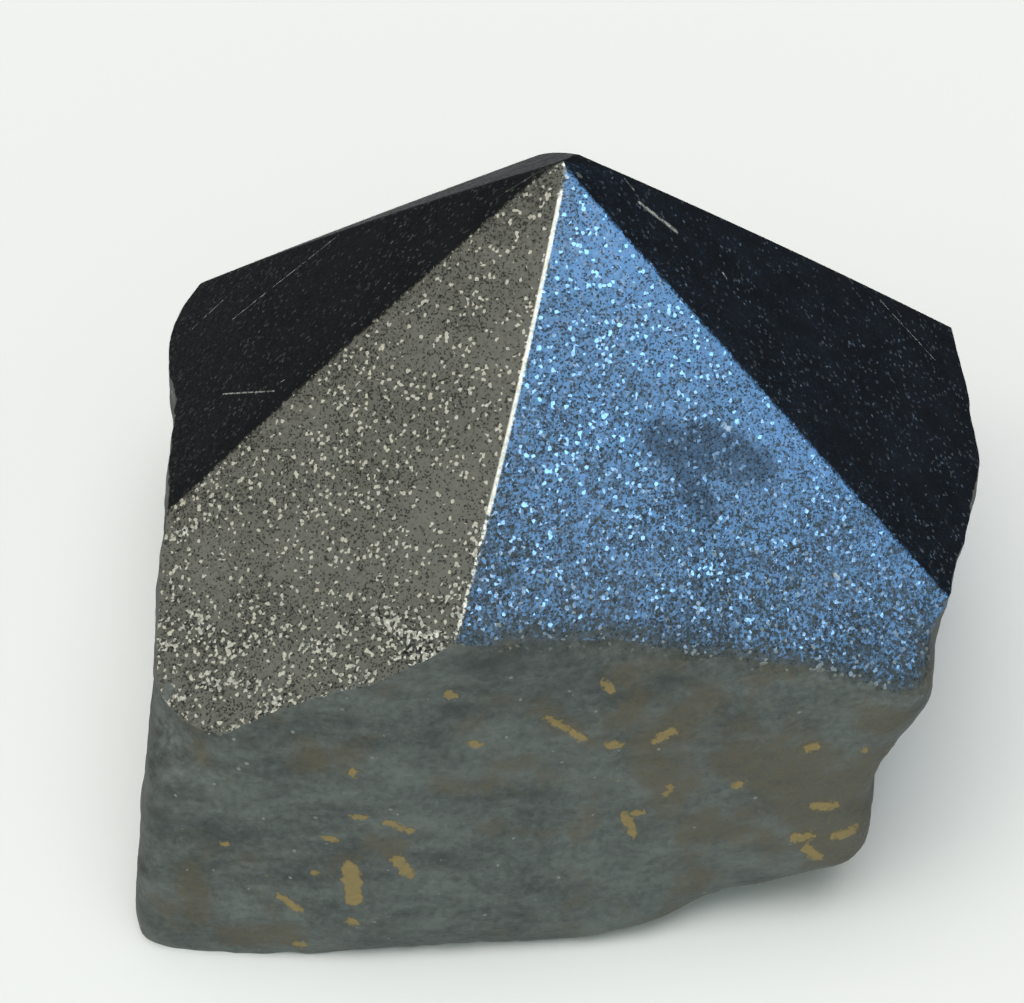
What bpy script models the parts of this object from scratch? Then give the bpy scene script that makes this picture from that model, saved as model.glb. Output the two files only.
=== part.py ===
"""A block of raw hematite whose top is ground into a six-sided point.

The crown is six ground facets that meet at the tip. Everything under the rim
is broken stone: a few big fracture faces, softened where they meet, with
chips knocked out of them and a low, lumpy relief. The stone stands on a flat
patch where its underside was sawn.

Lengths are millimetres until the mesh is made, and angles are degrees. While
the stone is shaped, the tip of the point is the zero of all three axes.
"""

import math
from collections import namedtuple

import bmesh
import bpy
from mathutils import Vector, noise

MM = 0.001

# The stone from its flat patch to its tip, and the point inside it from which
# the broken faces are measured.
HEIGHT = 57.5
HEART_HEIGHT = 22.0
HEART = Vector((0.0, 0.0, HEART_HEIGHT - HEIGHT))

# One ground facet: the bearing that it faces, how steeply it falls, how far
# its middle crowns above a true plane, and how far above the tip that plane
# would pass. A facet with some lift starts a little way down from the tip.
Facet = namedtuple("Facet", "bearing slope crown lift")
FACETS = (
    Facet(bearing=-7.1, slope=40.7, crown=0.26, lift=0.0),
    Facet(bearing=57.2, slope=45.9, crown=0.40, lift=1.27),
    Facet(bearing=120.9, slope=42.1, crown=0.48, lift=0.0),
    Facet(bearing=167.6, slope=43.2, crown=0.37, lift=0.49),
    Facet(bearing=225.2, slope=40.1, crown=0.10, lift=0.0),
    Facet(bearing=292.4, slope=44.0, crown=0.74, lift=0.25),
)

# A facet crowns from the tip to this radius. Nearer to the tip than the second
# radius, where the lifts part the facets, a ridge keeps its bearing.
FACET_SPAN = 38.4
LEAST_RIDGE_RADIUS = 3.5

# One fracture face: the way its normal points, as a bearing and as an angle
# above the horizontal, and its distance from the heart. The sharper the
# corners, the narrower the rounding between two neighbouring faces.
Fracture = namedtuple("Fracture", "bearing rise distance")
FRACTURES = {
    "front_left": Fracture(-96.0, 10.7, 31.4),
    "front_right": Fracture(-82.4, 9.1, 28.5),
    "left": Fracture(182.0, 8.9, 32.8),
    "right_front": Fracture(-20.0, -5.7, 33.9),
    "right_back": Fracture(1.6, 8.6, 35.7),
    "back": Fracture(95.0, 2.4, 29.0),
    "back_left": Fracture(130.3, -3.0, 40.7),
    "back_right": Fracture(48.0, 8.0, 43.0),
    "front_corner": Fracture(-28.0, -3.0, 43.0),
    "under_right": Fracture(-42.0, -66.6, 30.0),
    "under_front": Fracture(-86.5, -50.4, 37.4),
    "under_left": Fracture(177.0, -36.4, 43.0),
    "under_back": Fracture(90.0, -45.0, 37.0),
}
CORNER_SHARPNESS = 26.0

# One chip knocked out of the broken stone, or a swelling where the depth is
# below zero: the way it lies from the heart, its half angle and its depth.
Chip = namedtuple("Chip", "bearing rise spread depth")
CHIPS = {
    "front_prow": Chip(-112.5, 24.5, 22.0, -1.8),
    "front_scoop": Chip(-62.5, -30.0, 11.5, 0.7),
    "front_foot": Chip(-82.5, -34.0, 10.0, -0.4),
    "right_shoulder": Chip(-40.5, 0.7, 9.7, -1.4),
    "right_ledge": Chip(-27.0, -19.0, 14.8, 2.2),
    "right_notch": Chip(-38.5, -14.2, 9.1, 2.1),
    "right_foot": Chip(-48.5, -21.0, 7.0, -0.8),
    "right_swell": Chip(-6.5, 6.2, 8.8, -0.5),
    "right_corner": Chip(21.5, 10.0, 12.0, 0.3),
    "left_foot": Chip(-138.5, -27.0, 13.0, -0.4),
    "left_corner": Chip(-138.5, 1.0, 6.5, 1.8),
    "back_shoulder": Chip(153.5, 8.0, 18.5, -1.6),
}

# The broken relief: the size of its lumps, and how far they stand out.
Lump = namedtuple("Lump", "size height")
LUMPS = (
    Lump(size=11.0, height=0.45),
    Lump(size=5.0, height=0.25),
)
LUMP_SEED = Vector((4.7, 1.3, 8.2))

# The mesh: columns run from the tip to the middle of the base, and six of
# them start down the ridges. Rings cross them on the crown, down the broken
# sides to the foot, and in over the flat patch.
COLUMNS_PER_FACET = 24
COLUMNS = COLUMNS_PER_FACET * len(FACETS)
CROWN_RINGS = 4
SIDE_RINGS = 24
BASE_RINGS = 3
RINGS = CROWN_RINGS + SIDE_RINGS + BASE_RINGS

# The rim and the foot are found by halving a stretch this many times. The rim
# lies between these two radii from the tip.
SEARCH_STEPS = 30
NEAREST_RIM = 5.0
FARTHEST_RIM = 60.0

SMOOTH_BELOW = math.radians(20.0)

HEMATITE_COLOUR = (0.075, 0.082, 0.080, 1.0)
HEMATITE_ROUGHNESS = 0.42
HEMATITE_METALLIC = 0.55


def direction(bearing, rise):
    """The unit vector at a bearing from +X and a rise above the horizontal."""
    turn = math.radians(bearing)
    lift = math.radians(rise)
    level = math.cos(lift)
    return Vector((level * math.cos(turn), level * math.sin(turn), math.sin(lift)))


FRACTURE_NORMALS = [(direction(f.bearing, f.rise), f.distance) for f in FRACTURES.values()]
CHIP_PLACES = [(direction(c.bearing, c.rise), math.radians(c.spread), c.depth) for c in CHIPS.values()]


def crowning(radius):
    """How much of a facet's crown is reached at a radius from the tip."""
    along = radius / FACET_SPAN
    return 4.0 * along * (1.0 - along)


def facet_height(facet, x, y):
    """Height of one facet over (x, y), from the tip."""
    turn = math.radians(facet.bearing)
    reach = x * math.cos(turn) + y * math.sin(turn)
    fall = reach * math.tan(math.radians(facet.slope))
    return facet.lift - fall + facet.crown * crowning(math.hypot(x, y))


def crown_point(radius, bearing):
    """The point of the ground crown at a radius and a bearing, in radians."""
    x = radius * math.cos(bearing)
    y = radius * math.sin(bearing)
    return Vector((x, y, min(facet_height(facet, x, y) for facet in FACETS)))


def ridge_bearing(first, second, radius):
    """The bearing, in radians, at which two neighbouring facets meet."""
    radius = max(radius, LEAST_RIDGE_RADIUS)
    turns = [math.radians(facet.bearing) for facet in (first, second)]
    falls = [math.tan(math.radians(facet.slope)) for facet in (first, second)]
    across = falls[0] * math.cos(turns[0]) - falls[1] * math.cos(turns[1])
    along = falls[0] * math.sin(turns[0]) - falls[1] * math.sin(turns[1])
    step = (first.crown - second.crown) * crowning(radius) + first.lift - second.lift
    swing = math.acos(max(-1.0, min(1.0, step / radius / math.hypot(across, along))))
    middle = sum(turns) / 2.0
    if turns[1] < turns[0]:
        middle += math.pi
    meetings = (math.atan2(along, across) + side * swing - middle for side in (1.0, -1.0))
    nearest = min((math.remainder(meeting, math.tau) for meeting in meetings), key=abs)
    return middle + nearest


def column_bearing(column, radius):
    """The bearing of a column of the mesh at a radius, in radians."""
    index, step = divmod(column, COLUMNS_PER_FACET)
    before = FACETS[index - 1]
    facet = FACETS[index]
    after = FACETS[(index + 1) % len(FACETS)]
    start = ridge_bearing(before, facet, radius)
    width = math.fmod(ridge_bearing(facet, after, radius) - start + 2.0 * math.tau, math.tau)
    return start + width * step / COLUMNS_PER_FACET


def relief(place):
    """How far the lumps of the broken stone stand out at a place on it."""
    return sum(lump.height * noise.noise(place / lump.size + LUMP_SEED) for lump in LUMPS)


def broken_reach(way):
    """Distance from the heart to the broken surface along a unit vector."""
    crowding = 0.0
    for normal, distance in FRACTURE_NORMALS:
        facing = way.dot(normal)
        if facing > 0.0:
            crowding += (facing / distance) ** CORNER_SHARPNESS
    reach = crowding ** (-1.0 / CORNER_SHARPNESS)
    for middle, spread, depth in CHIP_PLACES:
        off = way.angle(middle) / spread
        if off < 1.0:
            reach -= depth * (1.0 - off * off) ** 2
    return reach + relief(way * reach)


def last_inside(inside, outside, holds):
    """The value between two others up to which a test still holds."""
    for _ in range(SEARCH_STEPS):
        middle = (inside + outside) / 2.0
        if holds(middle):
            inside = middle
        else:
            outside = middle
    return inside


def rim_radius(column):
    """The radius at which a column leaves the ground crown for the broken stone."""

    def within_stone(radius):
        arm = crown_point(radius, column_bearing(column, radius)) - HEART
        return arm.length < broken_reach(arm.normalized())

    return last_inside(NEAREST_RIM, FARTHEST_RIM, within_stone)


def foot_rise(bearing):
    """The angle, below the horizontal, at which the broken stone meets the base."""

    def above_base(rise):
        way = direction(bearing, rise)
        return -way.z * broken_reach(way) < HEART_HEIGHT

    return last_inside(0.0, -90.0, above_base)


def column_points(column):
    """The points of one column, from the first ring below the tip to the last."""
    rim = rim_radius(column)
    points = []
    for ring in range(1, CROWN_RINGS + 1):
        radius = rim * ring / CROWN_RINGS
        points.append(crown_point(radius, column_bearing(column, radius)))
    arm = points[-1] - HEART
    bearing = math.degrees(math.atan2(arm.y, arm.x))
    rise = math.degrees(math.asin(arm.z / arm.length))
    drop = rise - foot_rise(bearing)
    for ring in range(1, SIDE_RINGS + 1):
        way = direction(bearing, rise - drop * ring / SIDE_RINGS)
        points.append(HEART + way * broken_reach(way))
    foot = points[-1]
    for ring in range(1, BASE_RINGS):
        left = 1.0 - ring / BASE_RINGS
        points.append(Vector((foot.x * left, foot.y * left, -HEIGHT)))
    return points


def stone_place(corner, columns):
    """Where a corner of the unit sphere goes on the stone."""
    ring = round(math.acos(max(-1.0, min(1.0, corner.z))) * RINGS / math.pi)
    if ring == 0:
        return Vector((0.0, 0.0, 0.0))
    if ring == RINGS:
        return Vector((0.0, 0.0, -HEIGHT))
    column = round(math.atan2(corner.y, corner.x) * COLUMNS / math.tau) % COLUMNS
    return columns[column][ring - 1]


def middle_of_base(places):
    """The point of the base plane under the middle of the stone's outline."""
    xs = [place.x for place in places]
    ys = [place.y for place in places]
    return Vector(((min(xs) + max(xs)) / 2.0, (min(ys) + max(ys)) / 2.0, -HEIGHT))


def stone_mesh():
    """The whole stone as one closed mesh in metres, standing on the origin."""
    columns = [column_points(column) for column in range(COLUMNS)]
    shape = bmesh.new()
    bmesh.ops.create_uvsphere(shape, u_segments=COLUMNS, v_segments=RINGS, radius=1.0)
    places = [stone_place(vertex.co, columns) for vertex in shape.verts]
    middle = middle_of_base(places)
    for vertex, place in zip(shape.verts, places):
        vertex.co = (place - middle) * MM
    mesh = bpy.data.meshes.new("hematite_stone")
    shape.to_mesh(mesh)
    shape.free()
    mesh.shade_smooth()
    mesh.set_sharp_from_angle(angle=SMOOTH_BELOW)
    return mesh


def hematite_material():
    """Dark grey stone with a dull metallic sheen."""
    material = bpy.data.materials.new("hematite")
    material.use_nodes = True
    shader = material.node_tree.nodes["Principled BSDF"]
    shader.inputs["Base Color"].default_value = HEMATITE_COLOUR
    shader.inputs["Roughness"].default_value = HEMATITE_ROUGHNESS
    shader.inputs["Metallic"].default_value = HEMATITE_METALLIC
    return material


def clear_scene():
    """Remove every object of the scene."""
    for thing in list(bpy.data.objects):
        bpy.data.objects.remove(thing, do_unlink=True)


def main():
    """Build the stone in a collection of its own."""
    clear_scene()
    collection = bpy.data.collections.new("Hematite point")
    bpy.context.scene.collection.children.link(collection)
    stone = bpy.data.objects.new("hematite_stone", stone_mesh())
    stone.data.materials.append(hematite_material())
    collection.objects.link(stone)


main()
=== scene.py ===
"""The finished look of a block of raw hematite whose top is ground to a point.

The stone is shaped from the same faces as its solid, in much finer rings: the
ridges of the ground point are rounded, the rim of one facet is soft, and the
broken sides carry small chips and lumps. One material holds both finishes,
the satin ground crown and the dull, rusty broken stone.

Lengths are millimetres from the tip of the point, unless a name says
otherwise, and angles are degrees.
"""

import math
from collections import namedtuple

import bpy
import numpy as np
from mathutils import Euler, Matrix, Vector, noise
from mathutils.bvhtree import BVHTree


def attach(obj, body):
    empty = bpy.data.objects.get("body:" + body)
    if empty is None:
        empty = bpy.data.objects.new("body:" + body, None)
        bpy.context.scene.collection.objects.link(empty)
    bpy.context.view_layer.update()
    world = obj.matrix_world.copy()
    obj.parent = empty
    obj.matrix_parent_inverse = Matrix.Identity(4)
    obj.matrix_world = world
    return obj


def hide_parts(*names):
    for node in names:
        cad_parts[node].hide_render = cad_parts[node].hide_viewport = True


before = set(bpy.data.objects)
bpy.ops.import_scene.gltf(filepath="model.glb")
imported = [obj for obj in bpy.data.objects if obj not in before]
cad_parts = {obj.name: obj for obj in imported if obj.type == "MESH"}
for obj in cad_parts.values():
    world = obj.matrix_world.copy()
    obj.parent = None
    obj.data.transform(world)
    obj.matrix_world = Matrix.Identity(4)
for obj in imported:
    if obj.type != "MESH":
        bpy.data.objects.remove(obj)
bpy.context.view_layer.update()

MM = 0.001
NODE = "hematite_stone"
TAU = 2.0 * math.pi

# The tip of the solid is the zero of all lengths, and its base is the floor.
TIP = max((vertex.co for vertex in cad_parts[NODE].data.vertices), key=lambda place: place.z).copy()
HEIGHT = TIP.z / MM
HEART_HEIGHT = 22.0
HEART = np.array((0.0, 0.0, HEART_HEIGHT - HEIGHT))

# The photograph's camera: its place from the tip, how far it looks down, and
# its focal length and picture size in pixels.
CAMERA_PLACE = Vector((-3.88, -142.82, 115.65))
CAMERA_DROP = 47.0
PHOTO_FOCAL = 2426.2
PHOTO_WIDTH = 1024
PHOTO_HEIGHT = 1003
SENSOR_WIDTH = 36.0
CLIP_START = 0.01
CLIP_END = 20.0

# The ground facets, as in the solid.
Facet = namedtuple("Facet", "name bearing slope crown lift")
FACETS = (
    Facet("right", bearing=-7.1, slope=40.7, crown=0.26, lift=0.0),
    Facet("back_right", bearing=57.2, slope=45.9, crown=0.40, lift=1.27),
    Facet("back_left", bearing=120.9, slope=42.1, crown=0.48, lift=0.0),
    Facet("left", bearing=167.6, slope=43.2, crown=0.37, lift=0.49),
    Facet("front_left", bearing=225.2, slope=40.1, crown=0.10, lift=0.0),
    Facet("front_right", bearing=292.4, slope=44.0, crown=0.74, lift=0.25),
)
NAMES = [facet.name for facet in FACETS]
FACET_SPAN = 38.4
LEAST_RIDGE_RADIUS = 3.5

# A ridge is worn round where its two facets are within this height of each
# other, and on some ridges polishing has also rolled the facets off.
RIDGE_WEAR = 0.22
ROLL_REACH = 3.0
ROLL_DEPTH = {
    ("front_right", "right"): 0.20,
    ("left", "front_left"): 0.20,
    ("front_left", "front_right"): 0.02,
}

# The broken faces, and the chips and swellings on them, as in the solid.
Fracture = namedtuple("Fracture", "bearing rise distance")
FRACTURES = (
    Fracture(-96.0, 10.7, 31.4),
    Fracture(-82.4, 9.1, 28.5),
    Fracture(182.0, 8.9, 32.8),
    Fracture(-20.0, -5.7, 33.9),
    Fracture(1.6, 8.6, 35.7),
    Fracture(95.0, 2.4, 29.0),
    Fracture(130.3, -3.0, 40.7),
    Fracture(48.0, 8.0, 43.0),
    Fracture(-28.0, -3.0, 43.0),
    Fracture(-42.0, -66.6, 30.0),
    Fracture(-86.5, -50.4, 37.4),
    Fracture(177.0, -36.4, 43.0),
    Fracture(90.0, -45.0, 37.0),
)
CORNER_SHARPNESS = 26.0
Chip = namedtuple("Chip", "bearing rise spread depth")
CHIPS = (
    Chip(-112.5, 24.5, 22.0, -1.8),
    Chip(-62.5, -30.0, 11.5, 0.7),
    Chip(-82.5, -34.0, 10.0, -0.4),
    Chip(-40.5, 0.7, 9.7, -1.4),
    Chip(-27.0, -19.0, 14.8, 2.2),
    Chip(-38.5, -14.2, 9.1, 2.1),
    Chip(-48.5, -21.0, 7.0, -0.8),
    Chip(-6.5, 6.2, 8.8, -0.5),
    Chip(21.5, 10.0, 12.0, 0.3),
    Chip(-138.5, -27.0, 13.0, -0.4),
    Chip(-138.5, 1.0, 6.5, 1.8),
    Chip(153.5, 8.0, 18.5, -1.6),
)
Lump = namedtuple("Lump", "size height")
LUMPS = (
    Lump(size=11.0, height=0.45),
    Lump(size=5.0, height=0.25),
    Lump(size=2.3, height=0.16),
    Lump(size=1.2, height=0.09),
)
LUMP_SEED = np.array((4.7, 1.3, 8.2))

# Small flakes knocked off the broken stone, with a crisp edge.
FLAKE_SEED = 11
FLAKE_COUNT = 70
FLAKE_RISES = (-50.0, 25.0)
FLAKE_SPREADS = (2.0, 6.5)
FLAKE_DEPTHS = (0.08, 0.30)

# The front right facet runs over its rim in a soft shoulder.
SOFT_FACET = "front_right"
SOFT_REACH = 2.2
SOFT_DEPTH = 0.17
SOFT_ENDS = 0.08

# The mesh: columns run from the tip to the middle of the base, crowded beside
# the ridges, and rings cross them, crowded beside the rim.
EDGE_FRACTIONS = (0.0, 0.0025, 0.006, 0.012)
EVEN_COLUMNS = 84
EVEN_FROM = 0.02
CROWN_RINGS = 28
RIM_FRACTIONS = (0.975, 0.987, 0.995, 1.0)
SIDE_FRACTIONS = (0.003, 0.010, 0.020)
SIDE_RINGS = 92
SIDE_FROM = 0.03
BASE_FRACTIONS = (0.97, 0.66, 0.33)
SEARCH_STEPS = 30
NEAREST_RIM = 5.0
FARTHEST_RIM = 60.0
SHARP_ABOVE = 42.0

# Marks, each from one pixel of the photograph to another, with its half width.
Mark = namedtuple("Mark", "start end width")
OCHRE_MARKS = (
    Mark((350, 868), (354, 900), 0.75),
    Mark((397, 859), (410, 874), 0.55),
    Mark((314, 873), (317, 874), 0.35),
    Mark((352, 816), (367, 818), 0.30),
    Mark((386, 823), (411, 831), 0.32),
    Mark((322, 837), (336, 838), 0.32),
    Mark((279, 896), (301, 911), 0.36),
    Mark((349, 921), (354, 922), 0.40),
    Mark((296, 944), (303, 945), 0.45),
    Mark((224, 843), (226, 844), 0.32),
    Mark((449, 694), (453, 696), 0.32),
    Mark((353, 770), (353, 776), 0.30),
    Mark((605, 682), (611, 690), 0.34),
    Mark((608, 745), (619, 745), 0.40),
    Mark((655, 741), (672, 731), 0.42),
    Mark((548, 718), (583, 739), 0.34),
    Mark((625, 815), (633, 834), 0.42),
    Mark((628, 815), (641, 812), 0.30),
    Mark((795, 838), (811, 835), 0.55),
    Mark((836, 836), (854, 829), 0.55),
    Mark((806, 848), (818, 858), 0.50),
    Mark((816, 807), (834, 805), 0.48),
    Mark((736, 785), (741, 784), 0.42),
    Mark((666, 795), (670, 786), 0.34),
    Mark((808, 748), (816, 746), 0.40),
    Mark((863, 751), (869, 747), 0.34),
    Mark((471, 743), (478, 745), 0.34),
)
STAINS = (
    Mark((189, 876), (196, 912), 1.1),
    Mark((655, 770), (672, 790), 1.8),
    Mark((740, 760), (780, 780), 2.0),
    Mark((800, 770), (850, 840), 3.6),
    Mark((870, 715), (890, 725), 1.5),
    Mark((705, 700), (650, 745), 1.6),
    Mark((503, 765), (525, 762), 0.7),
    Mark((240, 935), (285, 935), 1.4),
    Mark((545, 712), (590, 742), 0.9),
    Mark((310, 752), (316, 760), 1.0),
)
SCRATCHES = (
    Mark((233, 319), (335, 238), 0.075),
    Mark((192, 329), (223, 300), 0.070),
    Mark((223, 394), (274, 391), 0.090),
    Mark((281, 382), (284, 380), 0.080),
    Mark((625, 179), (634, 190), 0.080),
    Mark((640, 203), (676, 231), 0.240),
    Mark((723, 273), (727, 279), 0.120),
    Mark((880, 300), (935, 360), 0.050),
    Mark((567, 176), (568, 177), 0.160),
    Mark((724, 425), (729, 428), 0.260),
    Mark((834, 574), (838, 578), 0.200),
)
DARK_PATCHES = (
    Mark((660, 440), (760, 470), 1.5),
    Mark((700, 440), (735, 455), 1.6),
    Mark((690, 485), (705, 505), 1.1),
)
PITS = (
    Mark((168, 688), (168, 694), 0.45),
    Mark((577, 172), (580, 176), 0.22),
)
FAR_FROM_MARKS = 40.0

# Floor and backdrop, in metres.
FLOOR_SIZE = 6.0
FLOOR_COLOUR = (0.90, 0.90, 0.895, 1.0)
BACKDROP_COLOUR = (0.93, 0.93, 0.93, 1.0)

# What the stone sees around it: a dim room, lighter in front and overhead,
# with a soft warm panel at its left.
ROOM_GLOW = (0.050, 0.054, 0.062)
FRONT_GLOW = (0.42, 0.50, 0.47)
OVERHEAD_GLOW = (3.1, 3.1, 3.05)
UNDER_GLOW = (0.34, 0.34, 0.33)
PANEL_GLOW = (1.20, 1.16, 0.98)
PANEL_BEARING = -172.0
PANEL_RISE = 37.0
PANEL_SPREAD = (34.0, 10.0)

# A cold window, up at the front right. It is a lamp of its own.
WINDOW_BEARING = -20.0
WINDOW_RISE = 47.0
WINDOW_TURN = -21.0
WINDOW_DISTANCE = 0.6
WINDOW_SIZE = (0.46, 0.44)
WINDOW_COLOUR = (0.16, 0.45, 1.0)
WINDOW_POWER = 3.6


def directions(bearings, rises):
    """Unit vectors at bearings from +X and rises above the horizontal."""
    turn = np.radians(bearings)
    lift = np.radians(rises)
    return np.stack([np.cos(lift) * np.cos(turn), np.cos(lift) * np.sin(turn), np.sin(lift)], axis=-1)


def crowning(radius):
    """How much of a facet's crown is reached at a radius from the tip."""
    along = radius / FACET_SPAN
    return 4.0 * along * (1.0 - along)


def facet_heights(x, y):
    """Height of each facet over points, from the tip, one column for each facet."""
    rise = crowning(np.hypot(x, y))
    heights = []
    for facet in FACETS:
        turn = math.radians(facet.bearing)
        fall = (x * math.cos(turn) + y * math.sin(turn)) * math.tan(math.radians(facet.slope))
        heights.append(facet.lift - fall + facet.crown * rise)
    return np.stack(heights, axis=-1)


def roll_table():
    """How far each pair of facets is rolled off at its ridge."""
    table = np.zeros((len(FACETS), len(FACETS)))
    for (first, second), depth in ROLL_DEPTH.items():
        i = NAMES.index(first)
        j = NAMES.index(second)
        table[i, j] = depth
        table[j, i] = depth
    return table


ROLLS = roll_table()


def crown_surface(x, y):
    """Height of the ground crown, the facet there, its neighbour, and the step between the two."""
    heights = facet_heights(x, y)
    order = np.argsort(heights, axis=-1)
    own = order[..., 0]
    other = order[..., 1]
    lowest = np.take_along_axis(heights, own[..., None], -1)[..., 0]
    step = np.take_along_axis(heights, other[..., None], -1)[..., 0] - lowest
    worn = np.maximum(RIDGE_WEAR - step, 0.0) ** 2 / (4.0 * RIDGE_WEAR)
    rolled = ROLLS[own, other] * np.maximum(ROLL_REACH - step, 0.0) ** 2 / (4.0 * ROLL_REACH)
    return lowest - worn - rolled, own, other, step


def ridge_bearings(first, second, radius):
    """The bearings, in radians, at which two neighbouring facets meet."""
    radius = np.maximum(radius, LEAST_RIDGE_RADIUS)
    turns = [math.radians(first.bearing), math.radians(second.bearing)]
    if turns[1] < turns[0]:
        turns[1] += TAU
    falls = [math.tan(math.radians(first.slope)), math.tan(math.radians(second.slope))]
    across = falls[0] * math.cos(turns[0]) - falls[1] * math.cos(turns[1])
    along = falls[0] * math.sin(turns[0]) - falls[1] * math.sin(turns[1])
    step = (first.crown - second.crown) * crowning(radius) + first.lift - second.lift
    swing = np.arccos(np.clip(step / radius / math.hypot(across, along), -1.0, 1.0))
    middle = sum(turns) / 2.0
    start = math.atan2(along, across) - middle
    meetings = np.stack([start + swing, start - swing])
    meetings = (meetings + math.pi) % TAU - math.pi
    nearest = np.where(np.abs(meetings[0]) < np.abs(meetings[1]), meetings[0], meetings[1])
    return middle + nearest


def column_fractions():
    """Where the columns of one facet lie between its two ridges."""
    even = np.linspace(EVEN_FROM, 1.0 - EVEN_FROM, EVEN_COLUMNS)
    near_end = 1.0 - np.array(EDGE_FRACTIONS[:0:-1])
    return np.concatenate([EDGE_FRACTIONS, even, near_end])


FRACTIONS = column_fractions()
COLUMNS = len(FRACTIONS) * len(FACETS)


def column_bearings(radius):
    """The bearing of each column at a radius of its own, in radians."""
    bearings = []
    for index, facet in enumerate(FACETS):
        own = radius[index * len(FRACTIONS):(index + 1) * len(FRACTIONS)]
        start = ridge_bearings(FACETS[index - 1], facet, own)
        end = ridge_bearings(facet, FACETS[(index + 1) % len(FACETS)], own)
        bearings.append(start + (end - start + 2.0 * TAU) % TAU * FRACTIONS)
    return np.concatenate(bearings)


def crown_points(radius):
    """The points of the ground crown on each column, at a radius of its own."""
    bearing = column_bearings(radius)
    x = radius * np.cos(bearing)
    y = radius * np.sin(bearing)
    return np.stack([x, y, crown_surface(x, y)[0]], axis=-1)


def relief(places):
    """How far the lumps of the broken stone stand out at places on it."""
    height = np.zeros(len(places))
    for lump in LUMPS:
        height += lump.height * np.array([noise.noise(Vector(p)) for p in places / lump.size + LUMP_SEED])
    return height


def flakes():
    """The small flakes: the way each lies from the heart, its spread and its depth."""
    dice = np.random.default_rng(FLAKE_SEED)
    ways = directions(dice.uniform(-180.0, 180.0, FLAKE_COUNT), dice.uniform(*FLAKE_RISES, FLAKE_COUNT))
    return list(zip(ways, dice.uniform(*FLAKE_SPREADS, FLAKE_COUNT), dice.uniform(*FLAKE_DEPTHS, FLAKE_COUNT)))


FLAKES = flakes()


def broken_reach(ways):
    """Distance from the heart to the broken surface along unit vectors."""
    crowding = np.zeros(len(ways))
    for fracture in FRACTURES:
        facing = ways @ directions(fracture.bearing, fracture.rise)
        crowding += (np.maximum(facing, 0.0) / fracture.distance) ** CORNER_SHARPNESS
    reach = crowding ** (-1.0 / CORNER_SHARPNESS)
    for chip in CHIPS:
        turn = np.degrees(np.arccos(np.clip(ways @ directions(chip.bearing, chip.rise), -1.0, 1.0)))
        reach -= chip.depth * np.maximum(1.0 - (turn / chip.spread) ** 2, 0.0) ** 2
    reach += relief(ways * reach[:, None])
    for way, spread, depth in FLAKES:
        turn = np.degrees(np.arccos(np.clip(ways @ way, -1.0, 1.0)))
        reach -= depth * np.maximum(1.0 - (turn / spread) ** 2, 0.0)
    return reach


def search(inside, outside, holds):
    """For each column, the value between two others up to which a test still holds."""
    inside = np.full(COLUMNS, inside)
    outside = np.full(COLUMNS, outside)
    for _ in range(SEARCH_STEPS):
        middle = (inside + outside) / 2.0
        held = holds(middle)
        inside = np.where(held, middle, inside)
        outside = np.where(held, outside, middle)
    return inside


def within_stone(radius):
    """Whether the crown at a radius is still inside the broken faces."""
    arms = crown_points(radius) - HEART
    length = np.linalg.norm(arms, axis=1)
    return length < broken_reach(arms / length[:, None])


def soft_columns():
    """How soft the rim is at each column: 1 on most of the soft facet, 0 on the others."""
    soft = np.zeros((len(FACETS), len(FRACTIONS)))
    ends = np.minimum(FRACTIONS, 1.0 - FRACTIONS) / SOFT_ENDS
    soft[NAMES.index(SOFT_FACET)] = np.clip(ends, 0.0, 1.0)
    return soft.ravel()


def stone_rings():
    """The rings of points from tip to base, and how far each point is above the rim."""
    rim_radius = search(NEAREST_RIM, FARTHEST_RIM, within_stone)
    rings = []
    even = np.arange(1, CROWN_RINGS) / CROWN_RINGS
    for fraction in [*even[even < RIM_FRACTIONS[0]], *RIM_FRACTIONS]:
        rings.append(crown_points(rim_radius * fraction))
    rim = rings[-1]
    crown_count = len(rings)
    arms = rim - HEART
    bearings = np.degrees(np.arctan2(arms[:, 1], arms[:, 0]))
    rises = np.degrees(np.arcsin(arms[:, 2] / np.linalg.norm(arms, axis=1)))

    def above_base(rise):
        ways = directions(bearings, rise)
        return -ways[:, 2] * broken_reach(ways) < HEART_HEIGHT

    feet = search(0.0, -90.0, above_base)
    for fraction in [*SIDE_FRACTIONS, *np.linspace(SIDE_FROM, 1.0, SIDE_RINGS)]:
        ways = directions(bearings, rises + (feet - rises) * fraction)
        rings.append(HEART + ways * broken_reach(ways)[:, None])
    above_rim = []
    soft = soft_columns()
    for index, ring in enumerate(rings):
        away = np.linalg.norm(ring - rim, axis=1)
        above_rim.append(away if index < crown_count else -away)
        inward = HEART - ring
        inward /= np.linalg.norm(inward, axis=1)[:, None]
        sink = SOFT_DEPTH * soft * np.maximum(1.0 - away / SOFT_REACH, 0.0) ** 2
        rings[index] = ring + inward * sink[:, None]
    foot = rings[-1]
    for fraction in BASE_FRACTIONS:
        rings.append(foot * (fraction, fraction, 1.0))
        above_rim.append(np.full(COLUMNS, -FAR_FROM_MARKS))
    return np.array(rings), np.array(above_rim)


def ring_faces(ring_count):
    """Four-sided faces between the rings, and fans at the tip and at the middle of the base."""
    first = 1
    last = 1 + ring_count * COLUMNS
    faces = []
    for column in range(COLUMNS):
        beside = (column + 1) % COLUMNS
        faces.append((0, first + column, first + beside))
        for ring in range(ring_count - 1):
            upper = first + ring * COLUMNS
            lower = upper + COLUMNS
            faces.append((upper + column, lower + column, lower + beside, upper + beside))
        faces.append((last - COLUMNS + column, last, last - COLUMNS + beside))
    return faces


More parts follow.
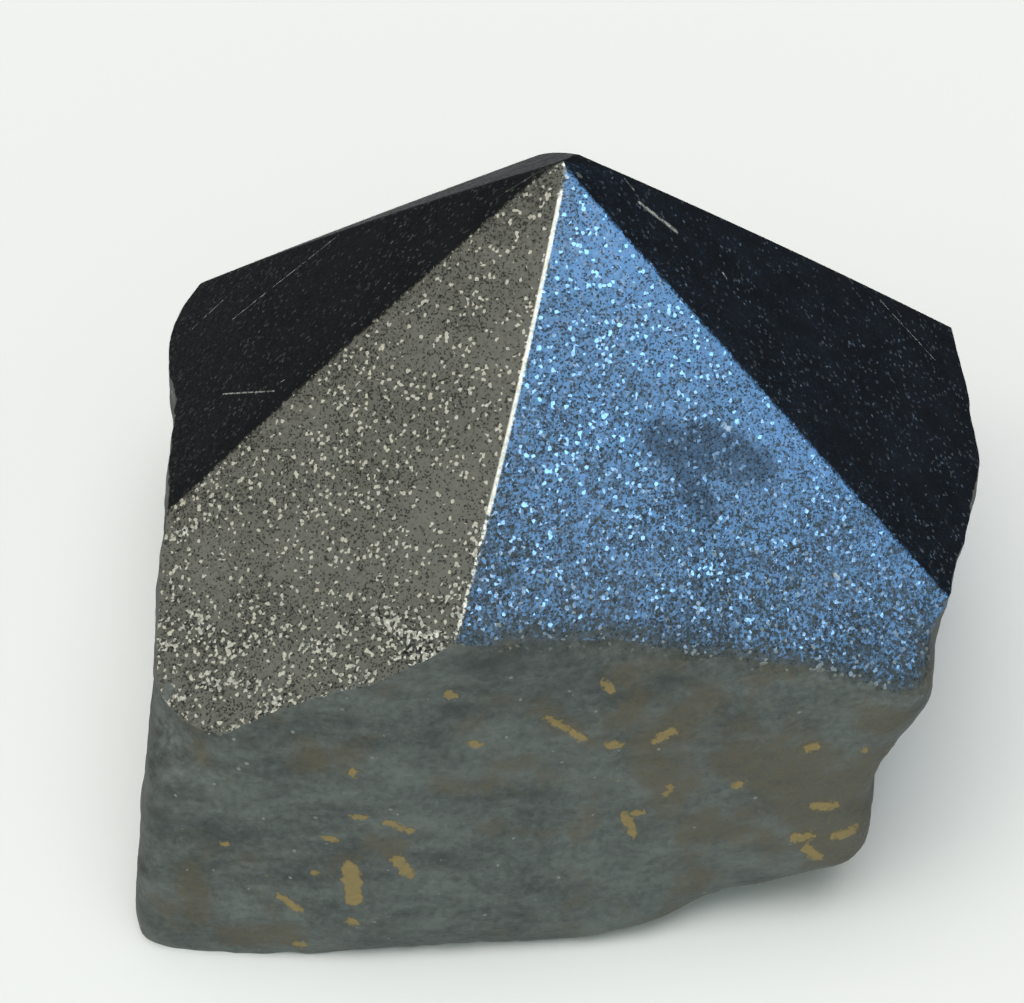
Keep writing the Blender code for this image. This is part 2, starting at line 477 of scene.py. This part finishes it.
def photo_ray(pixel):
    """The line of sight through a pixel of the photograph, as a unit vector."""
    drop = math.radians(CAMERA_DROP)
    right = Vector((1.0, 0.0, 0.0))
    up = Vector((0.0, math.sin(drop), math.cos(drop)))
    forward = Vector((0.0, math.cos(drop), -math.sin(drop)))
    across = (pixel[0] - PHOTO_WIDTH / 2.0) / PHOTO_FOCAL
    down = (pixel[1] - PHOTO_HEIGHT / 2.0) / PHOTO_FOCAL
    return (forward + right * across - up * down).normalized()


def on_stone(tree, pixel):
    """The point of the stone that a pixel of the photograph shows."""
    place = tree.ray_cast(CAMERA_PLACE, photo_ray(pixel))[0]
    if place is None:
        raise ValueError(f"pixel {pixel} misses the stone")
    return place


def mark_distance(points, tree, marks):
    """How far each point is outside the nearest of some marks; inside one it is below zero."""
    nearest = np.full(len(points), FAR_FROM_MARKS)
    for mark in marks:
        start = np.array(on_stone(tree, mark.start))
        along = np.array(on_stone(tree, mark.end)) - start
        share = np.clip((points - start) @ along / (along @ along + 1e-9), 0.0, 1.0)
        off = np.linalg.norm(points - start - share[:, None] * along, axis=1)
        nearest = np.minimum(nearest, off - mark.width)
    return nearest


def add_attribute(mesh, name, values):
    """Keep one number for each point of the mesh under a name."""
    attribute = mesh.attributes.new(name, "FLOAT", "POINT")
    attribute.data.foreach_set("value", np.asarray(values, np.float32))


def stone_piece():
    """The whole stone as one mesh, with what its material needs to know at each point."""
    rings, above_rim = stone_rings()
    tip = np.array((0.0, 0.0, crown_surface(np.zeros(1), np.zeros(1))[0][0]))
    bottom = np.array((0.0, 0.0, -HEIGHT))
    points = np.concatenate([tip[None], rings.reshape(-1, 3), bottom[None]])
    faces = ring_faces(len(rings))
    tree = BVHTree.FromPolygons([Vector(p) for p in points], faces)
    mesh = bpy.data.meshes.new("hematite_point")
    mesh.from_pydata(points * MM + np.array(TIP), [], faces)
    mesh.update()
    mesh.shade_smooth()
    mesh.set_sharp_from_angle(angle=math.radians(SHARP_ABOVE))
    _, own, other, step = crown_surface(points[:, 0], points[:, 1])
    front_ridge = {NAMES.index("front_left"), NAMES.index("front_right")}
    on_front_ridge = np.isin(own, list(front_ridge)) & np.isin(other, list(front_ridge))
    ends = (FAR_FROM_MARKS,), (-FAR_FROM_MARKS,)
    soft = np.concatenate([(0.0,), np.tile(soft_columns(), len(rings)), (0.0,)])
    add_attribute(mesh, "above_rim", np.concatenate([ends[0], above_rim.ravel(), ends[1]]))
    add_attribute(mesh, "soft_rim", soft)
    add_attribute(mesh, "front_left", own == NAMES.index("front_left"))
    add_attribute(mesh, "front_right", own == NAMES.index("front_right"))
    add_attribute(mesh, "front_ridge", np.where(on_front_ridge, step, FAR_FROM_MARKS))
    add_attribute(mesh, "ochre", mark_distance(points, tree, OCHRE_MARKS))
    add_attribute(mesh, "stain", mark_distance(points, tree, STAINS))
    add_attribute(mesh, "patch", mark_distance(points, tree, DARK_PATCHES))
    add_attribute(mesh, "pit", mark_distance(points, tree, PITS))
    piece = bpy.data.objects.new("hematite_point", mesh)
    bpy.context.scene.collection.objects.link(piece)
    scratches = [(on_stone(tree, m.start), on_stone(tree, m.end), m.width) for m in SCRATCHES]
    mesh.materials.append(hematite_material(scratches))
    return piece


class Recipe:
    """Short calls for the nodes of one material or world. Sizes are in millimetres."""

    def __init__(self, tree):
        self.tree = tree

    def feed(self, socket, value):
        """Link a socket to another, or set it to a constant."""
        if isinstance(value, bpy.types.NodeSocket):
            self.tree.links.new(value, socket)
        else:
            socket.default_value = value

    def node(self, kind, **settings):
        """A new node with some of its settings."""
        made = self.tree.nodes.new(kind)
        for name, value in settings.items():
            setattr(made, name, value)
        return made

    def math(self, operation, *values, clamp=False):
        """One sum, product or comparison of numbers."""
        made = self.node("ShaderNodeMath", operation=operation, use_clamp=clamp)
        for socket, value in zip(made.inputs, values):
            self.feed(socket, value)
        return made.outputs[0]

    def total(self, *values):
        """The sum of several numbers."""
        result = values[0]
        for value in values[1:]:
            result = self.math("ADD", result, value)
        return result

    def vector(self, operation, *values):
        """One operation on vectors."""
        made = self.node("ShaderNodeVectorMath", operation=operation)
        for socket, value in zip(made.inputs, values):
            self.feed(socket, value)
        measures = operation in ("DOT_PRODUCT", "DISTANCE", "LENGTH")
        return made.outputs["Value" if measures else "Vector"]

    def scaled(self, vector, factor):
        """A vector made longer or shorter."""
        made = self.node("ShaderNodeVectorMath", operation="SCALE")
        self.feed(made.inputs[0], vector)
        self.feed(made.inputs["Scale"], factor)
        return made.outputs["Vector"]

    def ramp(self, value, low, high, start=0.0, end=1.0):
        """A soft step from start at low to end at high."""
        made = self.node("ShaderNodeMapRange", interpolation_type="SMOOTHSTEP")
        for name, given in (("Value", value), ("From Min", low), ("From Max", high)):
            self.feed(made.inputs[name], given)
        self.feed(made.inputs["To Min"], start)
        self.feed(made.inputs["To Max"], end)
        return made.outputs["Result"]

    def blend(self, share, first, second):
        """A colour between two others."""
        made = self.node("ShaderNodeMix", data_type="RGBA")
        self.feed(made.inputs[0], share)
        for socket, value in ((made.inputs[6], first), (made.inputs[7], second)):
            self.feed(socket, value)
        return made.outputs[2]

    def between(self, share, first, second):
        """A number between two others."""
        made = self.node("ShaderNodeMix", data_type="FLOAT")
        self.feed(made.inputs[0], share)
        self.feed(made.inputs[2], first)
        self.feed(made.inputs[3], second)
        return made.outputs[0]

    def cloud(self, place, size, detail=2.0, roughness=0.5, warp=0.0):
        """Smooth random tones whose patches are about a size across."""
        made = self.node("ShaderNodeTexNoise")
        self.feed(made.inputs["Vector"], place)
        self.feed(made.inputs["Scale"], 1.0 / size)
        self.feed(made.inputs["Detail"], detail)
        self.feed(made.inputs["Roughness"], roughness)
        self.feed(made.inputs["Distortion"], warp)
        return made.outputs[0]

    def grains(self, place, size, feature="F1"):
        """Cells of a size: the distance from each cell's middle, and its random colour."""
        made = self.node("ShaderNodeTexVoronoi", feature=feature)
        self.feed(made.inputs["Vector"], place)
        self.feed(made.inputs["Scale"], 1.0 / size)
        return made.outputs["Distance"], made.outputs["Color"]

    def part(self, colour, index):
        """One of the three numbers of a colour or vector."""
        made = self.node("ShaderNodeSeparateXYZ")
        self.feed(made.inputs[0], colour)
        return made.outputs[index]

    def stored(self, name):
        """A number that the mesh keeps at its points."""
        return self.node("ShaderNodeAttribute", attribute_name=name).outputs["Fac"]


def stroke(recipe, place, start, end, width):
    """A mask along a short straight line on the stone, 1 in its middle."""
    line = Vector(end) - Vector(start)
    length = max(line.length_squared, 1e-6)
    from_start = recipe.vector("SUBTRACT", place, Vector(start))
    share = recipe.vector("DOT_PRODUCT", from_start, line / length)
    share = recipe.math("ADD", share, 0.0, clamp=True)
    off = recipe.vector("LENGTH", recipe.vector("SUBTRACT", from_start, recipe.scaled(line, share)))
    return recipe.ramp(off, width * 1.3, width * 0.3)


# Colours and measures of the material.
GROUND_COLOUR = (0.128, 0.130, 0.124, 1.0)
GROUND_DARK = (0.030, 0.032, 0.031, 1.0)
# Painted glints: the colour of the bright grains on the ground facets.
GROUND_GLINT = (0.46, 0.45, 0.41, 1.0)
GROUND_PATCH = (0.085, 0.088, 0.078, 1.0)
PALE_SCRATCH = (0.46, 0.47, 0.43, 1.0)
# Painted highlight: the pale colour of the line drawn along the ridge between the two front facets.
RIDGE_HIGHLIGHT_COLOUR = (0.80, 0.78, 0.70, 1.0)
BROKEN_DARK = (0.046, 0.053, 0.050, 1.0)
BROKEN_LIGHT = (0.150, 0.166, 0.155, 1.0)
BROKEN_PALE = (0.27, 0.28, 0.26, 1.0)
BROWN = (0.112, 0.088, 0.048, 1.0)
OCHRE = (0.300, 0.215, 0.072, 1.0)
GRAIN_SIZE = 0.25
FINE_GRAIN_SIZE = 0.13
GRAIN_TILT = 0.20
FINE_TILT = 0.16


def ground_look(recipe, place, scratches):
    """Colour, roughness and normal of the satin ground facets, with painted glints among their grains."""
    _, cell = recipe.grains(place, GRAIN_SIZE)
    _, fine_cell = recipe.grains(place, FINE_GRAIN_SIZE)
    chance = recipe.part(cell, 0)
    fine_chance = recipe.part(fine_cell, 0)
    broad = recipe.cloud(place, 7.0, detail=3.0)
    streaky = recipe.vector("MULTIPLY", place, (0.35, 1.0, 1.0))
    streak = recipe.cloud(streaky, 2.2, detail=4.0, roughness=0.6)
    rim_band = recipe.ramp(recipe.stored("above_rim"), 13.0, 0.5)
    # Partly painted glints: random grains get the bright glint colour, with more of them in broad patches and
    # in streaks near the rim of the front left facet. The grains' tilted normals further down give real glints
    # as well.
    glitter = recipe.math("MULTIPLY", recipe.stored("front_left"), rim_band)
    glitter = recipe.math("MULTIPLY", glitter, recipe.ramp(streak, 0.48, 0.66))
    speckle = recipe.math("MULTIPLY", recipe.ramp(broad, 0.35, 0.7), 0.05)
    glint_from = recipe.math("SUBTRACT", 0.955, recipe.math("MULTIPLY", glitter, 0.42))
    glint_from = recipe.math("SUBTRACT", glint_from, speckle)
    glint_specks = recipe.math("GREATER_THAN", chance, glint_from)
    dark = recipe.math("LESS_THAN", fine_chance, recipe.ramp(broad, 0.35, 0.65, 0.10, 0.24))
    colour = recipe.blend(recipe.ramp(broad, 0.3, 0.7, 0.0, 0.45), GROUND_COLOUR, GROUND_PATCH)
    colour = recipe.blend(recipe.math("MULTIPLY", dark, 0.75), colour, GROUND_DARK)
    colour = recipe.blend(recipe.math("MULTIPLY", glint_specks, 0.85), colour, GROUND_GLINT)
    patch = recipe.total(recipe.stored("patch"), recipe.math("MULTIPLY", streak, 2.4), -1.2)
    patch = recipe.math("MULTIPLY", recipe.ramp(patch, 0.6, -0.6), 0.5)
    colour = recipe.blend(patch, colour, GROUND_DARK)
    marks = recipe.math("MULTIPLY", 0.0, 0.0)
    ragged = recipe.ramp(recipe.cloud(place, 0.5, detail=3.0, roughness=0.7), 0.36, 0.58)
    for start, end, width in scratches:
        marks = recipe.math("MAXIMUM", marks, stroke(recipe, place, start, end, width))
    marks = recipe.math("MULTIPLY", marks, ragged)
    colour = recipe.blend(marks, colour, PALE_SCRATCH)
    tilt = recipe.scaled(recipe.vector("SUBTRACT", cell, (0.5, 0.5, 0.5)), GRAIN_TILT)
    fine_tilt = recipe.scaled(recipe.vector("SUBTRACT", fine_cell, (0.5, 0.5, 0.5)), FINE_TILT)
    tilt = recipe.vector("ADD", tilt, fine_tilt)
    tilt = recipe.scaled(tilt, recipe.math("ADD", 1.0, recipe.math("MULTIPLY", glitter, 1.6)))
    facing = recipe.node("ShaderNodeNewGeometry").outputs["Normal"]
    normal = recipe.vector("NORMALIZE", recipe.vector("ADD", facing, tilt))
    roughness = recipe.ramp(streak, 0.25, 0.75, 0.25, 0.34)
    roughness = recipe.math("ADD", roughness, recipe.math("MULTIPLY", dark, 0.2))
    roughness = recipe.math("ADD", roughness, recipe.math("MULTIPLY", patch, 0.25))
    metal = recipe.math("SUBTRACT", 1.0, recipe.math("MULTIPLY", marks, 0.9))
    return colour, roughness, normal, metal


def broken_look(recipe, place):
    """Colour, roughness and normal of the dull broken stone."""
    slanted = recipe.vector("MULTIPLY", place, (0.55, 1.0, 1.25))
    broad = recipe.cloud(slanted, 8.5, detail=3.0, warp=0.6)
    middle = recipe.cloud(slanted, 2.1, detail=4.0, roughness=0.6)
    small = recipe.cloud(place, 0.62, detail=3.0, roughness=0.65)
    distance, cell = recipe.grains(place, 0.55, feature="SMOOTH_F1")
    tone = recipe.total(
        recipe.math("MULTIPLY", broad, 0.38),
        recipe.math("MULTIPLY", middle, 0.34),
        recipe.math("MULTIPLY", small, 0.34),
    )
    colour = recipe.blend(recipe.ramp(tone, 0.36, 0.70), BROKEN_DARK, BROKEN_LIGHT)
    rust = recipe.cloud(recipe.vector("ADD", place, (31.0, 7.0, 3.0)), 5.5, detail=5.0, roughness=0.62)
    side = recipe.ramp(recipe.part(place, 0), -12.0, 24.0, 0.0, 0.12)
    rusty = recipe.ramp(recipe.math("ADD", rust, side), 0.53, 0.70, 0.0, 0.75)
    stain = recipe.total(recipe.stored("stain"), recipe.math("MULTIPLY", middle, 5.0), -2.5)
    stain = recipe.ramp(stain, 1.2, -0.9, 0.0, 0.75)
    rusty = recipe.math("MAXIMUM", rusty, stain)
    rusty = recipe.math("MULTIPLY", rusty, recipe.ramp(small, 0.30, 0.62, 0.45, 1.0))
    colour = recipe.blend(rusty, colour, BROWN)
    edge = recipe.math("MULTIPLY", recipe.math("SUBTRACT", small, 0.5), 1.3)
    ochre = recipe.ramp(recipe.math("ADD", recipe.stored("ochre"), edge), 0.10, -0.12)
    spots = recipe.cloud(recipe.vector("ADD", place, (5.0, 57.0, 21.0)), 2.6, detail=2.0)
    spots = recipe.ramp(recipe.math("ADD", spots, recipe.math("MULTIPLY", small, 0.16)), 0.835, 0.865)
    ochre = recipe.math("MAXIMUM", ochre, spots)
    colour = recipe.blend(recipe.math("MULTIPLY", ochre, 0.9), colour, OCHRE)
    pale = recipe.math("GREATER_THAN", recipe.part(cell, 1), 0.965)
    pale = recipe.math("MULTIPLY", pale, recipe.ramp(distance, 0.42, 0.2))
    colour = recipe.blend(recipe.math("MULTIPLY", pale, 0.8), colour, BROKEN_PALE)
    granule = recipe.math("MULTIPLY", recipe.ramp(distance, 0.75, 0.0), 0.075)
    height = recipe.total(
        granule,
        recipe.math("MULTIPLY", small, 0.16),
        recipe.math("MULTIPLY", middle, 0.42),
        recipe.math("MULTIPLY", ochre, -0.10),
    )
    bump = recipe.node("ShaderNodeBump")
    recipe.feed(bump.inputs["Strength"], 0.85)
    recipe.feed(bump.inputs["Distance"], MM)
    recipe.feed(bump.inputs["Height"], height)
    roughness = recipe.ramp(small, 0.3, 0.7, 0.44, 0.62)
    roughness = recipe.math("SUBTRACT", roughness, recipe.math("MULTIPLY", pale, 0.2))
    return colour, roughness, bump.outputs["Normal"]


def hematite_material(scratches):
    """Satin ground facets above the rim and dull broken stone below it, in one material."""
    material = bpy.data.materials.new("hematite")
    material.use_nodes = True
    recipe = Recipe(material.node_tree)
    shader = material.node_tree.nodes["Principled BSDF"]
    world_place = recipe.node("ShaderNodeTexCoord").outputs["Object"]
    place = recipe.scaled(recipe.vector("SUBTRACT", world_place, TIP), 1.0 / MM)
    ground_colour, ground_roughness, ground_normal, metal = ground_look(recipe, place, scratches)
    broken_colour, broken_roughness, broken_normal = broken_look(recipe, place)
    ragged = recipe.cloud(place, 0.7, detail=4.0, roughness=0.7)
    soft = recipe.stored("soft_rim")
    wander = recipe.math("MULTIPLY", recipe.math("SUBTRACT", ragged, 0.5), recipe.between(soft, 0.9, 5.5))
    above = recipe.math("ADD", recipe.stored("above_rim"), wander)
    half = recipe.between(soft, 0.04, 1.1)
    ground = recipe.ramp(above, recipe.math("MULTIPLY", half, -1.0), half)
    pit = recipe.ramp(recipe.math("ADD", recipe.stored("pit"), recipe.math("SUBTRACT", ragged, 0.5)), 0.1, -0.1)
    ground = recipe.math("MULTIPLY", ground, recipe.math("SUBTRACT", 1.0, pit))
    colour = recipe.blend(ground, broken_colour, ground_colour)
    # Painted highlight: a pale line along the ridge between the two front facets, less metallic than the
    # facets, solid near the tip and dotted further down. It stands in for the light that the rounded ridge
    # catches.
    down_ridge = recipe.vector("LENGTH", recipe.vector("MULTIPLY", place, (1.0, 1.0, 0.0)))
    solid_highlight = recipe.ramp(down_ridge, 26.0, 17.0)
    dotted_highlight = recipe.ramp(recipe.math("ADD", ragged, recipe.math("MULTIPLY", solid_highlight, 0.4)), 0.50, 0.60)
    dotted_highlight = recipe.math("MULTIPLY", dotted_highlight, recipe.ramp(down_ridge, 1.6, 2.6))
    edge = recipe.math("MULTIPLY", recipe.ramp(recipe.stored("front_ridge"), 0.22, 0.06), dotted_highlight)
    edge = recipe.math("MULTIPLY", edge, ground)
    colour = recipe.blend(edge, colour, RIDGE_HIGHLIGHT_COLOUR)
    metal = recipe.math("MULTIPLY", metal, ground)
    metal = recipe.math("MULTIPLY", metal, recipe.math("SUBTRACT", 1.0, recipe.math("MULTIPLY", edge, 0.7)))
    normal = recipe.blend(ground, broken_normal, ground_normal)
    recipe.feed(shader.inputs["Base Color"], colour)
    recipe.feed(shader.inputs["Metallic"], metal)
    recipe.feed(shader.inputs["Roughness"], recipe.between(ground, broken_roughness, ground_roughness))
    recipe.feed(shader.inputs["Normal"], recipe.vector("NORMALIZE", normal))
    return material


def floor():
    """A plain pale floor under the stone. It lights the stone, but isn't mirrored in its facets."""
    bpy.ops.mesh.primitive_plane_add(size=FLOOR_SIZE)
    plane = bpy.context.object
    plane.name = "floor"
    material = bpy.data.materials.new("floor")
    material.use_nodes = True
    shader = material.node_tree.nodes["Principled BSDF"]
    shader.inputs["Base Color"].default_value = FLOOR_COLOUR
    shader.inputs["Roughness"].default_value = 1.0
    shader.inputs["Specular IOR Level"].default_value = 0.0
    plane.data.materials.append(material)
    plane.visible_glossy = False


def surroundings():
    """The soft light around the stone, and the pale backdrop that the camera sees."""
    world = bpy.data.worlds.new("studio")
    bpy.context.scene.world = world
    world.use_nodes = True
    recipe = Recipe(world.node_tree)
    way = recipe.node("ShaderNodeTexCoord").outputs["Generated"]
    back = recipe.part(way, 1)
    up = recipe.part(way, 2)
    front = recipe.ramp(back, 0.15, -0.55)
    under = recipe.math("MULTIPLY", recipe.ramp(up, -0.42, -0.58), recipe.math("SUBTRACT", 1.0, front))
    wide, narrow = (math.cos(math.radians(angle)) for angle in PANEL_SPREAD)
    panel_way = Vector(directions(PANEL_BEARING, PANEL_RISE))
    panel = recipe.ramp(recipe.vector("DOT_PRODUCT", way, panel_way), wide, narrow)
    glow = recipe.vector("ADD", recipe.scaled(FRONT_GLOW, front), ROOM_GLOW)
    glow = recipe.vector("ADD", glow, recipe.scaled(UNDER_GLOW, under))
    glow = recipe.vector("ADD", glow, recipe.scaled(OVERHEAD_GLOW, recipe.ramp(up, 0.80, 0.98)))
    glow = recipe.vector("ADD", glow, recipe.scaled(PANEL_GLOW, panel))
    seen = recipe.node("ShaderNodeLightPath").outputs["Is Camera Ray"]
    background = world.node_tree.nodes["Background"]
    recipe.feed(background.inputs["Color"], recipe.blend(seen, glow, BACKDROP_COLOUR))


def window():
    """The cold window light that the front right facet mirrors."""
    lamp = bpy.data.lights.new("window", "AREA")
    lamp.shape = "RECTANGLE"
    lamp.size, lamp.size_y = WINDOW_SIZE
    lamp.energy = WINDOW_POWER
    lamp.color = WINDOW_COLOUR
    holder = bpy.data.objects.new("window", lamp)
    bpy.context.scene.collection.objects.link(holder)
    way = Vector(directions(WINDOW_BEARING, WINDOW_RISE))
    holder.location = TIP + way * WINDOW_DISTANCE
    aim = (-way).to_track_quat("-Z", "Y")
    holder.rotation_euler = (aim @ Euler((0.0, 0.0, math.radians(WINDOW_TURN))).to_quaternion()).to_euler()
    holder.visible_diffuse = False
    holder.visible_camera = False


def camera():
    """The photograph's view."""
    lens = bpy.data.cameras.new("camera")
    lens.sensor_width = SENSOR_WIDTH
    lens.lens = SENSOR_WIDTH * PHOTO_FOCAL / PHOTO_WIDTH
    lens.clip_start = CLIP_START
    lens.clip_end = CLIP_END
    holder = bpy.data.objects.new("camera", lens)
    bpy.context.scene.collection.objects.link(holder)
    holder.location = TIP + CAMERA_PLACE * MM
    holder.rotation_euler = (math.radians(90.0 - CAMERA_DROP), 0.0, 0.0)
    bpy.context.scene.camera = holder


camera()
floor()
surroundings()
window()
stone = stone_piece()
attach(stone, "root")
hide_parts(NODE)

bpy.context.scene.view_settings.view_transform = "Standard"
bpy.context.view_layer.update()
